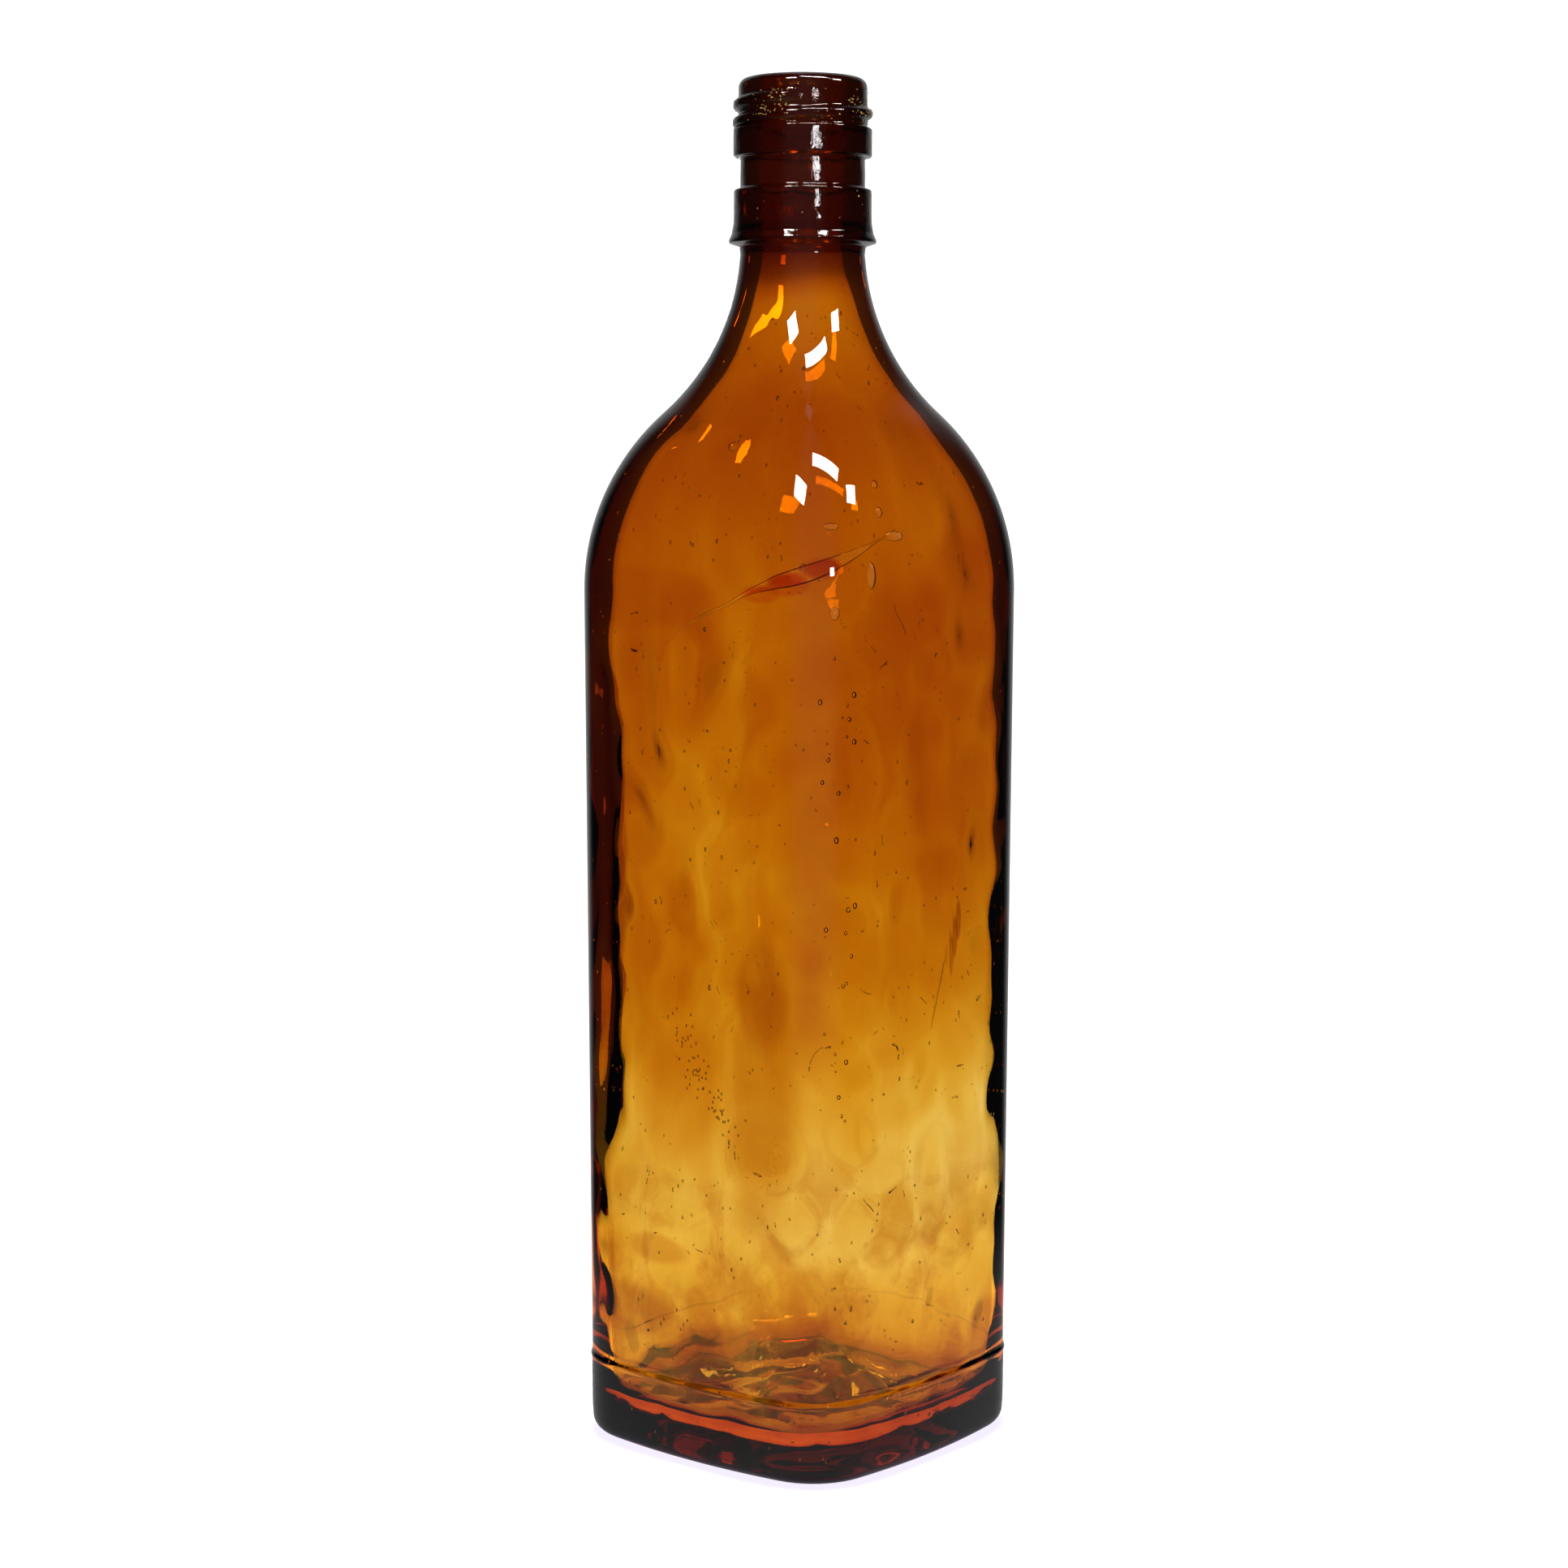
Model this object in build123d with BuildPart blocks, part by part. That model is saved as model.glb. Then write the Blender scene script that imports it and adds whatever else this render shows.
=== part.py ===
"""Square screw-finish bottle in amber glass, in millimetres.

The bottle stands on z = 0 with its neck along +Z. Its four bulged faces look along
X and Y, and its rounded corners lie on the diagonals.
"""

from build123d import *
import os
from math import cos, radians, sin, sqrt, tan

# Body
TOTAL_HEIGHT = 283.4
FACE_HALF_WIDTH = 37.0  # axis to the middle of a face, at the base
CORNER_REACH = 43.95  # axis to the outside of a corner, at the base
DRAFT_ANGLE = 0.34  # degrees that the sides lean out towards the shoulder
FACE_ARC_HALF_ANGLE = 8.3  # degrees of bulged face on each side of its middle
HEEL_RADIUS = 3.4

# Shoulder: a convex arc, then a concave one that ends upright inside the flange
SHOULDER_START = 178.6
SHOULDER_END = 250.6
SHOULDER_RADIUS = 49.0
SHOULDER_STEPS = 15
NECK_RADIUS = 12.8

# Wall
CORNER_WALL = 4.5
FACE_WALL = 3.8
FLOOR_THICKNESS = 8.0
FLOOR_CORNER_RADIUS = 7.0
FOOT_STEPS = 6
BORE_RADIUS = 8.7
NECK_BORE_RADIUS = 9.0  # the blown neck below the finish is a little wider inside

# Push-up under the base, inside a flat bearing ring
PUSH_UP_DEPTH = 3.2
PUSH_UP_RADIUS = 28.5

# Finish, measured up from the base
FLANGE_UNDERSIDE = 249.6
FLANGE_RADIUS = 15.2
FLANGE_LIP = 0.6
COLLAR_RADIUS = 14.15
FLARE_HEIGHT = 4.4
COLLAR_TOP = 260.6
GROOVE_RADIUS = 12.8
BEAD_RADIUS = 14.25
BEAD_BOTTOM = 267.2
BEAD_TOP = 273.2
THREAD_ROOT_RADIUS = 13.3
LIP_RADIUS = 1.8
MOUTH_EASING = 0.9

# Thread: right-handed, one start
THREAD_RADIUS = 14.2
THREAD_PITCH = 3.55
THREAD_TURNS = 1.25
THREAD_BOTTOM = 274.35
THREAD_START_ANGLE = 223.0  # degrees about the axis, counted from +X
THREAD_FOOT_WIDTH = 2.6
THREAD_CREST_WIDTH = 1.0
THREAD_OVERLAP = 0.5


def corner_reach(z, wall, neck_radius):
    """Distance from the axis to a corner at height z, for a surface set in by wall."""
    body_reach = CORNER_REACH + tan(radians(DRAFT_ANGLE)) * min(z, SHOULDER_START) - wall
    if z <= SHOULDER_START:
        return body_reach
    convex = SHOULDER_RADIUS - wall
    rise = SHOULDER_END - SHOULDER_START
    drop = body_reach - neck_radius
    # the two arcs touch, so their centres are as far apart as the sum of their radii
    concave = (rise**2 + drop**2 - 2 * drop * convex) / (2 * drop)
    touch_height = SHOULDER_START + rise * convex / (convex + concave)
    if z < touch_height:
        return body_reach - convex + sqrt(convex**2 - (z - SHOULDER_START) ** 2)
    return neck_radius + concave - sqrt(concave**2 - (SHOULDER_END - z) ** 2)


def square_outline(z, corner_wall, face_wall, neck_radius):
    """Return the rounded square of the body at height z, almost a circle at the flange."""
    corner = corner_reach(z, corner_wall, neck_radius)
    base_corner = CORNER_REACH - corner_wall
    base_face = FACE_HALF_WIDTH - face_wall
    squareness = (base_face - neck_radius) / (base_corner - neck_radius)
    face = neck_radius + (corner - neck_radius) * squareness
    turn = radians(FACE_ARC_HALF_ANGLE)
    # how much larger the face's radius is than the corner's
    excess = (corner - face) / (sqrt(2) * sin(turn) + cos(turn) - sin(turn) - 1)
    face_radius = face + excess * (cos(turn) - sin(turn))
    corner_radius = face_radius - excess
    centre = excess * sin(turn)
    face_turn = 2 * FACE_ARC_HALF_ANGLE
    corner_turn = 90 - face_turn
    with BuildSketch(Plane.XY.offset(z)) as outline:
        with BuildLine():
            for quarter in range(4):
                side = 90 * quarter
                face_middle = Vector(face - face_radius, 0).rotate(Axis.Z, side)
                corner_middle = Vector(centre, centre).rotate(Axis.Z, side)
                CenterArc(face_middle, face_radius, side - FACE_ARC_HALF_ANGLE, face_turn)
                CenterArc(corner_middle, corner_radius, side + FACE_ARC_HALF_ANGLE, corner_turn)
        make_face()
    return outline.sketch


def body_sections(foot_height, foot_radius, corner_wall, face_wall, neck_radius):
    """Return sections from a flat foot, round its edge and up the walls to the neck."""
    sections = []
    for step in range(FOOT_STEPS + 1):
        turn = radians(90 * step / FOOT_STEPS)
        height = foot_height + foot_radius * (1 - cos(turn))
        inset = foot_radius * (1 - sin(turn))
        section = square_outline(height, corner_wall + inset, face_wall + inset, neck_radius)
        sections.append(section)
    for height in [SHOULDER_START / 3, SHOULDER_START * 2 / 3]:
        sections.append(square_outline(height, corner_wall, face_wall, neck_radius))
    for step in range(SHOULDER_STEPS + 1):
        height = SHOULDER_START + (FLANGE_UNDERSIDE - SHOULDER_START) * step / SHOULDER_STEPS
        sections.append(square_outline(height, corner_wall, face_wall, neck_radius))
    return sections


with BuildPart() as cavity:
    loft(
        body_sections(
            FLOOR_THICKNESS, FLOOR_CORNER_RADIUS, CORNER_WALL, FACE_WALL, NECK_BORE_RADIUS
        )
    )
    with BuildSketch(Plane.XY.offset(FLANGE_UNDERSIDE)):
        Circle(BORE_RADIUS)
    extrude(amount=TOTAL_HEIGHT - FLANGE_UNDERSIDE)

with BuildPart() as thread:
    thread_start = Plane((THREAD_ROOT_RADIUS, 0, THREAD_BOTTOM), x_dir=(1, 0, 0), z_dir=(0, -1, 0))
    thread_height = THREAD_RADIUS - THREAD_ROOT_RADIUS
    with BuildLine():
        Helix(
            THREAD_PITCH,
            THREAD_PITCH * THREAD_TURNS,
            THREAD_ROOT_RADIUS,
            center=(0, 0, THREAD_BOTTOM),
        )
    with BuildSketch(thread_start):
        with BuildLine():
            Polyline(
                (-THREAD_OVERLAP, -THREAD_FOOT_WIDTH / 2),
                (thread_height, -THREAD_CREST_WIDTH / 2),
                (thread_height, THREAD_CREST_WIDTH / 2),
                (-THREAD_OVERLAP, THREAD_FOOT_WIDTH / 2),
                close=True,
            )
        make_face()
    sweep(is_frenet=True)

with BuildPart() as bottle:
    loft(body_sections(0, HEEL_RADIUS, 0, 0, NECK_RADIUS))

    # finish: flange, collar, groove, bead and thread root, turned about the neck
    with BuildSketch(Plane.XZ):
        with BuildLine():
            Line((0, FLANGE_UNDERSIDE), (FLANGE_RADIUS - FLANGE_LIP, FLANGE_UNDERSIDE))
            flange_edge = Line(
                (FLANGE_RADIUS - FLANGE_LIP, FLANGE_UNDERSIDE),
                (FLANGE_RADIUS, FLANGE_UNDERSIDE + FLANGE_LIP),
            )
            # the collar flares out to the flange in a hollow curve
            flare = Bezier(
                flange_edge @ 1,
                (COLLAR_RADIUS, FLANGE_UNDERSIDE + FLARE_HEIGHT / 2),
                (COLLAR_RADIUS, FLANGE_UNDERSIDE + FLARE_HEIGHT),
            )
            Polyline(
                flare @ 1,
                (COLLAR_RADIUS, COLLAR_TOP),
                (GROOVE_RADIUS, COLLAR_TOP),
                (GROOVE_RADIUS, BEAD_BOTTOM),
                (BEAD_RADIUS, BEAD_BOTTOM),
                (BEAD_RADIUS, BEAD_TOP),
                (THREAD_ROOT_RADIUS, BEAD_TOP),
                (THREAD_ROOT_RADIUS, TOTAL_HEIGHT),
                (0, TOTAL_HEIGHT),
                (0, FLANGE_UNDERSIDE),
            )
        finish_face = make_face()
        lip_corner = finish_face.vertices().group_by(Axis.Y)[-1].sort_by(Axis.X)[-1]
        fillet(lip_corner, LIP_RADIUS)
    revolve(axis=Axis.Z)
    add(thread.part.rotate(Axis.Z, THREAD_START_ANGLE))

    # hollow, with an eased mouth
    add(cavity.part, mode=Mode.SUBTRACT)
    mouth_edge = bottle.edges().group_by(Axis.Z)[-1].sort_by(SortBy.RADIUS)[0]
    fillet(mouth_edge, MOUTH_EASING)

    # push-up: a shallow dome pressed into the base
    dome_radius = (PUSH_UP_RADIUS**2 + PUSH_UP_DEPTH**2) / (2 * PUSH_UP_DEPTH)
    with Locations((0, 0, PUSH_UP_DEPTH - dome_radius)):
        Sphere(dome_radius, mode=Mode.SUBTRACT)

bottle.part.label = "bottle"
os.makedirs("parts", exist_ok=True)
export_step(bottle.part, "parts/bottle.step")
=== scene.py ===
"""A square amber glass bottle with a screw finish, on a white studio sweep.

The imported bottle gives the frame. One detailed glass mesh stands for it: the smooth
outside, the uneven blown inside, the crinkled floor and the air trapped in the wall.
Lengths are millimetres in the row frame until make_object scales a mesh to metres.
Polar angles are degrees about the bottle's axis, counted from +X.
"""
import math
import random

import bmesh
import bpy
import numpy as np
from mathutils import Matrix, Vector, noise


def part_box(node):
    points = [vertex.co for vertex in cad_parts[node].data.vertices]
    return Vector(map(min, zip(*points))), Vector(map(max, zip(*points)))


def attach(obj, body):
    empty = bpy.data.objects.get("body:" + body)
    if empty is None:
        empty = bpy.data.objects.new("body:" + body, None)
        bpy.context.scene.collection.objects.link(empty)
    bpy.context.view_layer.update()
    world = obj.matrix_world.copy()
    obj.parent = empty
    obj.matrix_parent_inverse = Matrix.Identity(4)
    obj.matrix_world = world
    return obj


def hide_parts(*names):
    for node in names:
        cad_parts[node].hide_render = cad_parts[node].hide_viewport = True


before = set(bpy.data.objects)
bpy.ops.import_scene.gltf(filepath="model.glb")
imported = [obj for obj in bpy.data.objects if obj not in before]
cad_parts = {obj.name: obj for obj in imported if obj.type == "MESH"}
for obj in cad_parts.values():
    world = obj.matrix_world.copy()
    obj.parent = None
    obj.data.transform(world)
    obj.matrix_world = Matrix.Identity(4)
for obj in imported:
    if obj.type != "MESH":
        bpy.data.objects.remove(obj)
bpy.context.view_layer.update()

MM = 0.001
BODY = "root"

# ---------------------------------------------------------------- sizes of the bottle
TOTAL_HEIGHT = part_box("bottle")[1].z / MM
FACE_BASE = 37.0  # axis to the middle of a face, at the base
CORNER_BASE = 43.95  # axis to the outside of a corner, at the base
DRAFT = math.tan(math.radians(0.34))  # how far the sides lean out for each mm of height
FACE_ARC_HALF = math.radians(8.3)  # half of the arc that a bulged face spans
HEEL_RADIUS = 3.4
SHOULDER_START = 178.6
SHOULDER_END = 250.6
SHOULDER_RADIUS = 49.0
NECK_RADIUS = 12.8
NECK_TOP = 246.9
NECK_OFFSET = (0.3, 0.24)  # how far the blown neck sits off the axis, along x and y

# wall
CORNER_WALL = 5.4
FACE_WALL = 4.1
NECK_BORE = 8.1
BORE = 8.7
FLOOR_THICKNESS = 6.6
FLOOR_CORNER = 7.0  # rounding between the floor and the wall, inside
# how thick the wall is at each height, as a share of the two above
THICKNESS = [
    (8, 0.72),
    (25, 0.50),
    (45, 0.40),
    (60, 0.43),
    (78, 0.60),
    (100, 0.88),
    (140, 1.06),
    (185, 1.18),
    (210, 1.04),
    (235, 0.93),
    (255, 0.98),
]
THIN_SIDE = math.radians(-12)  # the wall is thinnest on this side
THINNING = 0.24  # share of its thickness that the wall loses there

# underside
PUSH_UP_DEPTH = 4.5
PUSH_UP_RADIUS = 30.0
RECESS = 0.9  # step up inside the ring that the bottle stands on
PEBBLE_SIZE = 4.5
PEBBLE_HEIGHT = 0.3

# the mould's joint line round the heel
SEAM_HEIGHT = 16.7
SEAM_WIDTH = 0.5
SEAM_RIDGE = 0.25
SEAM_STEP = 0.12  # how far the glass below it stands out
STRIAE = 0.05  # depth of the fine rings round the heel

AROUND = 160  # points in each ring of the glass mesh
ANGLES = np.arange(AROUND) * 2 * math.pi / AROUND
COS = np.cos(ANGLES)
SIN = np.sin(ANGLES)


# ---------------------------------------------------------------- outlines and profiles
def smooth(low, high, value):
    """A soft step from 0 at low to 1 at high, either of which may be the larger."""
    t = min(1.0, max(0.0, (value - low) / (high - low)))
    return t * t * (3 - 2 * t)


def outline(angle, face, corner):
    """Polar radius of the rounded square whose faces and corners reach that far."""
    spread = math.sqrt(2) * math.sin(FACE_ARC_HALF) + math.cos(FACE_ARC_HALF)
    excess = (corner - face) / (spread - math.sin(FACE_ARC_HALF) - 1)
    face_radius = face + excess * (math.cos(FACE_ARC_HALF) - math.sin(FACE_ARC_HALF))
    corner_radius = face_radius - excess
    quarter = math.pi / 2
    turn = np.abs((angle + quarter / 2) % quarter - quarter / 2)
    centre = face - face_radius
    along = centre * np.cos(turn)
    on_face = along + np.sqrt(along**2 + face_radius**2 - centre**2)
    middle = excess * math.sin(FACE_ARC_HALF)
    along = middle * (np.cos(turn) + np.sin(turn))
    on_corner = along + np.sqrt(np.maximum(along**2 + corner_radius**2 - 2 * middle**2, 0))
    join = np.arctan2(
        face_radius * math.sin(FACE_ARC_HALF), centre + face_radius * math.cos(FACE_ARC_HALF)
    )
    return np.where(turn < join, on_face, on_corner)


def reach(z, wall, neck):
    """Distance from the axis to a corner at height z, for a surface set in by wall."""
    body = CORNER_BASE + DRAFT * min(z, SHOULDER_START) - wall
    if z <= SHOULDER_START:
        return body
    convex = SHOULDER_RADIUS - wall
    rise = SHOULDER_END - SHOULDER_START
    drop = body - neck
    # the two arcs touch, so their centres are as far apart as the sum of their radii
    concave = (rise**2 + drop**2 - 2 * drop * convex) / (2 * drop)
    touch = SHOULDER_START + rise * convex / (convex + concave)
    if z < touch:
        return body - convex + math.sqrt(convex**2 - (z - SHOULDER_START) ** 2)
    return neck + concave - math.sqrt(max(concave**2 - (SHOULDER_END - z) ** 2, 0))


def squareness(face_wall, corner_wall, neck):
    """How far a face's reach goes beyond the neck, as a share of a corner's."""
    return (FACE_BASE - face_wall - neck) / (CORNER_BASE - corner_wall - neck)


def wall_ring(z, angles, face_wall=0.0, corner_wall=0.0, neck=NECK_RADIUS):
    """Polar radii of the bottle's outside at height z, or of a surface set in from it."""
    corner = reach(z, corner_wall, neck)
    face = neck + (corner - neck) * squareness(face_wall, corner_wall, neck)
    return outline(angles, face, corner)


def inside_ring(z, angles, inset=0.0):
    """Smooth shape of the blown inside: thinner low down and towards one side."""
    thick = float(np.interp(z, *zip(*THICKNESS)))
    lopsided = THINNING * smooth(150, 90, z) * smooth(20, 60, z)
    lean = 1 - lopsided * np.cos(angles - THIN_SIDE)
    plain = wall_ring(z, angles, FACE_WALL * thick + inset, CORNER_WALL * thick + inset, NECK_BORE)
    outer = wall_ring(z, angles)
    return outer - (outer - plain - inset) * lean - inset


ARC_STEP = math.radians(18)  # how far apart the points on a rounded corner are, at most


def rounded_path(corners, step):
    """Points no further than about step apart, along (x, y, rounding radius) corners."""
    points = [np.array(corner[:2], float) for corner in corners]
    path = [points[0]]
    for before, here, after, corner in zip(points, points[1:], points[2:], corners[1:]):
        radius = corner[2]
        back = (before - here) / np.linalg.norm(before - here)
        on = (after - here) / np.linalg.norm(after - here)
        half = math.acos(max(-1.0, min(1.0, float(back @ on)))) / 2
        cut = radius / math.tan(half)
        centre = here + (back + on) / np.linalg.norm(back + on) * radius / math.sin(half)
        first = here + back * cut - centre
        last = here + on * cut - centre
        sweep = math.pi - 2 * half
        count = max(3, int(sweep / ARC_STEP) + 1)
        for k in range(count + 1):
            t = k / count
            a = math.sin((1 - t) * sweep) / math.sin(sweep)
            b = math.sin(t * sweep) / math.sin(sweep)
            path.append(centre + a * first + b * last)
    path.append(points[-1])
    return fill_gaps(path, step)


def fill_gaps(path, step):
    """The path with the gaps that are well over a step divided evenly."""
    dense = [path[0]]
    for start, end in zip(path, path[1:]):
        gap = np.linalg.norm(end - start)
        pieces = int(gap / step) + 1 if gap > step * 1.5 else 1
        for k in range(1, pieces + 1):
            dense.append(start + (end - start) * k / pieces)
    return dense


# ---------------------------------------------------------------- surface irregularities
# waves of the blown inside: height on the body, height on the shoulder, size round the
# bottle, how quickly they change upward against that, noise seed
BLOWN_WAVES = [
    (1.9, 1.0, 24.0, 0.5, 3.1),
    (0.8, 0.8, 11.0, 0.3, 17.7),
    (0.75, 0.225, 8.0, 0.9, 41.3),
]
# ridges down the blown inside: polar angle at the top and at the foot, from z, to z,
# height, width in degrees
RIDGES = [
    (-134, -126.5, 64, 165, 2.4, 5.6),
    (-135, -135, 22, 60, 1.0, 4.0),
]
RIDGE_END = 9  # length over which a ridge dies away at each end
RIDGE_LUMPS = 9.0  # distance between the lumps on a ridge
DEEPEST_BULGE = -2.6
HIGHEST_BULGE = 2.2
LOW_BULGE = 0.4  # share of the waves that is left in the thin wall low down


def waves(point, size, seed):
    """Smooth noise at a point, from about -1 to 1, whose waves are about this size."""
    return noise.noise(Vector((point[0] / size + seed, point[1] / size, point[2] / size)))


def ridge_height(polar, z):
    """How far the ridges stand in from the blown inside at this place."""
    total = 0.0
    for top, foot, low, high, height, width in RIDGES:
        at = foot + (top - foot) * (z - low) / (high - low)
        off = ((polar - at + 180) % 360 - 180) / width
        if abs(off) < 2 and low < z < high:
            lumps = 0.75 + 0.9 * noise.noise(Vector((z / RIDGE_LUMPS, top, 0.5)))
            ends = smooth(low, low + RIDGE_END, z) * smooth(high, high - RIDGE_END, z)
            total += height * lumps * ends * math.exp(-3 * off * off)
    return total


def inner_bulge(x, y, z):
    """How far the blown inner surface stands out from its smooth shape."""
    calm = smooth(165, 200, z)
    bulge = 0.0
    for body, shoulder, size, quickness, seed in BLOWN_WAVES:
        height = body + (shoulder - body) * calm
        bulge += height * waves((x, y, z * quickness), size, seed)
    bulge -= ridge_height(math.degrees(math.atan2(y, x)), z)
    limited = max(DEEPEST_BULGE, min(HIGHEST_BULGE, bulge))
    return limited * (LOW_BULGE + (1 - LOW_BULGE) * smooth(20, 120, z))


# the chilled skin of glass on the floor: big folds, fine creases and a broad swell
FLOOR_DOME = 3.2  # how far the push-up lifts the middle of the floor
WARP_SIZE = 9.0
WARP = 5.0  # how far the folds are pushed about
FOLD_SIZE = 14.0
FOLD_SHARPNESS = 3.4
FOLD_HEIGHT = 4.2
CREASE_SIZE = 7.0
CREASE_SHARPNESS = 2.2
CREASE_HEIGHT = 0.6
SWELL_SIZE = 22.0
SWELL_HEIGHT = 1.4
FLOOR_SINK = 2.2  # how far the whole skin is lowered, to sit about the floor's height
DEEPEST_CRINKLE = 0.8
EDGE_CRINKLE = 0.35  # share of the crinkles that is left where the floor meets the wall


def floor_noise(x, y, size, shift_x, shift_y, layer):
    """Smooth noise over the floor; the shifts and the layer choose its pattern."""
    return noise.noise(Vector((x / size + shift_x, y / size + shift_y, layer)))


def floor_crinkle(x, y):
    """Height of the folded, chilled skin of glass on the inside of the floor."""
    u = x + WARP * floor_noise(x, y, WARP_SIZE, 0, 0, 3.3)
    v = y + WARP * floor_noise(x, y, WARP_SIZE, 4.0, 0, 6.1)
    folds = 1 - abs(floor_noise(u, v, FOLD_SIZE, 5.0, 0, 1.7)) * FOLD_SHARPNESS
    creases = 1 - abs(floor_noise(u, v, CREASE_SIZE, 0, 9.0, 4.4)) * CREASE_SHARPNESS
    swell = floor_noise(x, y, SWELL_SIZE, 0, 2.0, 8.8)
    dome = FLOOR_DOME * (1 - min(1.0, (x * x + y * y) / PUSH_UP_RADIUS**2))
    lift = dome + FOLD_HEIGHT * max(folds, 0.0) + CREASE_HEIGHT * creases
    lift += SWELL_HEIGHT * swell - FLOOR_SINK
    return max(lift, dome / 2 - DEEPEST_CRINKLE)


# ---------------------------------------------------------------- the finish
FLANGE_RADIUS = 15.2
COLLAR_RADIUS = 14.15
BEAD_RADIUS = 14.25
FINISH_STEP = 0.42

THREAD_PITCH = 3.55
THREAD_FROM = 0.45  # where the thread starts and ends, in turns from +X
THREAD_TO = 1.87
THREAD_END = 0.07  # share of a turn in which it rises from nothing at each end
THREAD_DATUM = 272.15  # height of its middle at no turns
THREAD_HEIGHT = 1.05
THREAD_HALF_WIDTH = 1.25
THREAD_STEEPNESS = 1.55
THREAD_ROOT = 13.3

ROUGH_HEIGHT = 0.05  # fine unevenness of the moulded finish
WORN_HEIGHT = 0.12  # broader unevenness of it


def finish_path():
    """Outside of the finish as (radius, height), from the neck up over the lip."""
    corners = [  # radius, height, rounding
        (12.85, 247.4, 0),
        (13.05, 249.2, 0.5),
        (FLANGE_RADIUS, 249.9, 0.25),
        (FLANGE_RADIUS, 250.5, 0.2),
        (14.6, 251.8, 1.2),
        (14.25, 253.8, 1.6),
        (COLLAR_RADIUS, 256.5, 2.0),
        (COLLAR_RADIUS, 260.7, 0.55),
        (12.85, 261.0, 0.55),
        (12.82, 267.2, 0.5),
        (BEAD_RADIUS, 267.4, 0.45),
        (BEAD_RADIUS, 273.1, 0.45),
        (13.35, 273.3, 0.35),
        (13.2, TOTAL_HEIGHT - 0.5, 1.9),
        (11.2, TOTAL_HEIGHT, 0.6),
        (8.9, TOTAL_HEIGHT - 0.2, 1.2),
        (8.72, 279.6, 0),
    ]
    return rounded_path(corners, FINISH_STEP)


def thread_rise(angle, z):
    """Height of the thread's ridge over its root at this angle, in radians, and height."""
    first_turn = (angle / (2 * math.pi)) % 1.0
    best = 0.0
    for lap in range(3):
        turn = first_turn + lap
        if not THREAD_FROM < turn < THREAD_TO:
            continue
        middle = THREAD_DATUM + THREAD_PITCH * turn
        off = abs(z - middle) / THREAD_HALF_WIDTH
        if off < 1:
            start = smooth(0, THREAD_END, turn - THREAD_FROM)
            end = smooth(0, THREAD_END, THREAD_TO - turn)
            crest = min(1.0, THREAD_STEEPNESS * (1 - off))
            best = max(best, THREAD_HEIGHT * (start * end) * crest * (2 - crest))
    return best


# ---------------------------------------------------------------- the glass mesh
def ring(radius, z):
    """Points round the axis, at a radius and a height that may vary from point to point."""
    height = np.broadcast_to(z, AROUND)
    return np.stack([radius * COS, radius * SIN, height], axis=1)


def on_ring(measure, radius):
    """What measure(x, y) gives at each point round the axis, at this radius."""
    radii = np.broadcast_to(radius, AROUND)
    return np.array([measure(r * c, r * s) for r, c, s in zip(radii, COS, SIN)])


def underside_rings():
    """The push-up, then the flat ring that the bottle stands on, then the rounded heel."""
    rings = []
    foot_corner = CORNER_BASE - HEEL_RADIUS
    foot_face = FACE_BASE - HEEL_RADIUS
    for t in [*np.linspace(0.06, 0.80, 12), *np.linspace(0.84, 0.96, 9), 1.0]:
        corner = foot_corner * t
        face = corner * (1 - (1 - foot_face / foot_corner) * t**2)  # rounder inward
        radius = outline(ANGLES, face, corner)
        dome = PUSH_UP_DEPTH * (1 - (radius / PUSH_UP_RADIUS) ** 2)
        pebbles = on_ring(lambda x, y: waves((x, y, 0), PEBBLE_SIZE, 55.0), radius)
        texture = PEBBLE_HEIGHT * np.abs(pebbles) * smooth(1.0, 0.94, t)
        lift = np.maximum(dome, 0.0) + RECESS * smooth(0.95, 0.84, t)
        rings.append(ring(radius, lift + texture))
    for t in np.linspace(0, math.pi / 2, 8)[1:]:
        inset = HEEL_RADIUS * (1 - math.sin(t))
        z = HEEL_RADIUS * (1 - math.cos(t))
        rings.append(ring(wall_ring(z, ANGLES, inset, inset), z))
    return rings


def outer_wall_rings():
    """The smooth outside, with the mould's joint line and fine rings round the heel."""
    heights = [*np.arange(4.2, 14.2, 0.62), *np.arange(14.5, 19.2, 0.4)]
    heights += [*np.arange(21.0, SHOULDER_START, 3.4)]
    heights += [*np.linspace(SHOULDER_START, NECK_TOP, 42)]
    rings = []
    for z in heights:
        seam = SEAM_RIDGE * math.exp(-(((z - SEAM_HEIGHT) / SEAM_WIDTH) ** 2))
        proud = SEAM_STEP * smooth(SEAM_HEIGHT + 0.3, SEAM_HEIGHT - 0.3, z)
        striae = STRIAE * noise.noise(Vector((z / 0.9, 3.0, 1.0))) * smooth(16, 12, z)
        heel = (proud + striae) * smooth(HEEL_RADIUS, 6.0, z)
        rings.append(ring(wall_ring(z, ANGLES) + seam + heel, z))
    return rings


def finish_rings():
    """Flange, collar, groove, bead, thread and lip, all a little uneven."""
    rings = []
    for radius, z in finish_path():
        extra = np.zeros(AROUND)
        if radius > BORE + 3 and 272.8 < z < 282.4:
            extra = np.array([thread_rise(angle, z) for angle in ANGLES])
        if radius > BORE + 2:
            rough = on_ring(lambda x, y: waves((x, y, z), 2.6, 12.0), radius)
            worn = on_ring(lambda x, y: waves((x, y, z * 0.5), 7.0, 31.0), radius)
            uneven = ROUGH_HEIGHT * rough + WORN_HEIGHT * worn
            extra = extra + uneven * smooth(248, 251, z)
        rings.append(ring(radius + extra, z))
    return rings


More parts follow.
